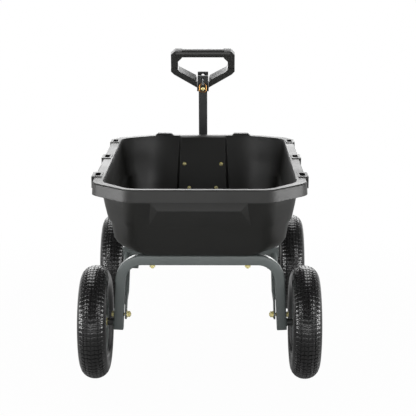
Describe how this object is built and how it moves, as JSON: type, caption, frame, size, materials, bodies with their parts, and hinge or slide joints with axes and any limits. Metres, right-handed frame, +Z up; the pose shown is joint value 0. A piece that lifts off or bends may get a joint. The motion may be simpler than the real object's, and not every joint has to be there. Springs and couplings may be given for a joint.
{
  "type": "tipping dump cart",
  "caption": "Garden dump cart with a tapered black moulded tub that tips on its rear axle, pneumatic wheels, steered front axle and an upright pull handle with a tow clevis.",
  "frame": {"origin": "on the ground under the middle of the bounding box, midway between the wheels across the cart", "axes": "+Y forward towards the pull handle, +X to the cart's right, +Z up"},
  "size_m": [0.837, 1.45, 1.0859],
  "materials": {
    "tub_poly": "fine moulded grain, satin",
    "frame_paint": "slate grey powder coat, satin",
    "dark_paint": "black powder coat, satin",
    "zinc": "yellow zinc plate",
    "steel": "bright steel",
    "tyre": "black tyre rubber",
    "rubber": "black rubber",
    "nylon": "black nylon",
    "grip_poly": "dark grey moulded grip",
    "ring_wire": "yellow plated wire"
  },
  "bodies": {
    "frame": {"spine_tube": "frame_paint", "cross_tube": "frame_paint", "left_brace": "frame_paint", "right_brace": "frame_paint", "bolster_plate": "frame_paint", "wear_washer": "nylon", "keeper": "frame_paint", "rest_pads": "rubber", "kingpin": "zinc", "kingpin_nut": "zinc"},
    "bed": {"tub": "tub_poly", "rear_axle_tube": "frame_paint", "rear_spindles": "dark_paint", "axle_bolts": "zinc", "axle_nuts": "zinc", "dump_pivot_bolts": "zinc", "dump_pivot_nuts": "zinc", "rear_wheel_washers": "zinc", "rear_cotter_pins": "steel", "latch_bracket": "frame_paint", "latch_bracket_nuts": "zinc", "lever_pin": "zinc"},
    "lever": {"release_lever": "frame_paint", "lever_grip": "rubber"},
    "front_axle": {"front_axle_tube": "frame_paint", "turntable_plate": "frame_paint", "front_spindles": "dark_paint", "front_wheel_washers": "zinc", "front_cotter_pins": "steel", "tongue": "frame_paint", "handle_bolt": "zinc", "handle_nut": "zinc"},
    "handle": {"handle_tube": "dark_paint", "tow_clevis": "dark_paint", "grip": "grip_poly", "grip_screws": "zinc"},
    "hitch_pin": {"hitch_pin": "steel"},
    "pull_ring": {"pull_ring": "ring_wire"},
    "rear_left_wheel": {"rear_left_tyre": "tyre", "rear_left_rim": "frame_paint", "rear_left_bearings": "steel", "rear_left_rim_bolts": "zinc", "rear_left_valve": "rubber"},
    "rear_right_wheel": {"rear_right_tyre": "tyre", "rear_right_rim": "frame_paint", "rear_right_bearings": "steel", "rear_right_rim_bolts": "zinc", "rear_right_valve": "rubber"},
    "front_left_wheel": {"front_left_tyre": "tyre", "front_left_rim": "frame_paint", "front_left_bearings": "steel", "front_left_rim_bolts": "zinc", "front_left_valve": "rubber"},
    "front_right_wheel": {"front_right_tyre": "tyre", "front_right_rim": "frame_paint", "front_right_bearings": "steel", "front_right_rim_bolts": "zinc", "front_right_valve": "rubber"}
  },
  "joints": [
    {"name": "dump_tilt", "type": "hinge", "parent": "frame", "child": "bed", "pos_m": [0, -0.493, 0.228], "axis": [1, 0, 0], "range_deg": [0, 75]},
    {"name": "steer", "type": "hinge", "parent": "frame", "child": "front_axle", "pos_m": [0, 0.347, 0.37], "axis": [0, 0, 1], "range_deg": [-35, 35]},
    {"name": "handle_pivot", "type": "hinge", "parent": "front_axle", "child": "handle", "pos_m": [0, 0.703, 0.28], "axis": [-1, 0, 0], "range_deg": [0, 115]},
    {"name": "release_lever", "type": "hinge", "parent": "bed", "child": "lever", "pos_m": [0, 0.439, 0.56], "axis": [1, 0, 0], "range_deg": [-8, 25]},
    {"name": "hitch_pin_slide", "type": "slide", "parent": "handle", "child": "hitch_pin", "axis": [0, -0.9563, -0.2924], "range_m": [0, 0.075]},
    {"name": "pull_ring_swing", "type": "hinge", "parent": "hitch_pin", "child": "pull_ring", "pos_m": [0, 0.46468, 0.93808], "axis": [1, 0, 0], "range_deg": [-70, 16]},
    {"name": "rear_left_spin", "type": "hinge", "parent": "bed", "child": "rear_left_wheel", "pos_m": [-0.3685, -0.493, 0.2], "axis": [1, 0, 0], "continuous": true},
    {"name": "rear_right_spin", "type": "hinge", "parent": "bed", "child": "rear_right_wheel", "pos_m": [0.3685, -0.493, 0.2], "axis": [1, 0, 0], "continuous": true},
    {"name": "front_left_spin", "type": "hinge", "parent": "front_axle", "child": "front_left_wheel", "pos_m": [-0.3685, 0.347, 0.2], "axis": [1, 0, 0], "continuous": true},
    {"name": "front_right_spin", "type": "hinge", "parent": "front_axle", "child": "front_right_wheel", "pos_m": [0.3685, 0.347, 0.2], "axis": [1, 0, 0], "continuous": true}
  ]
}
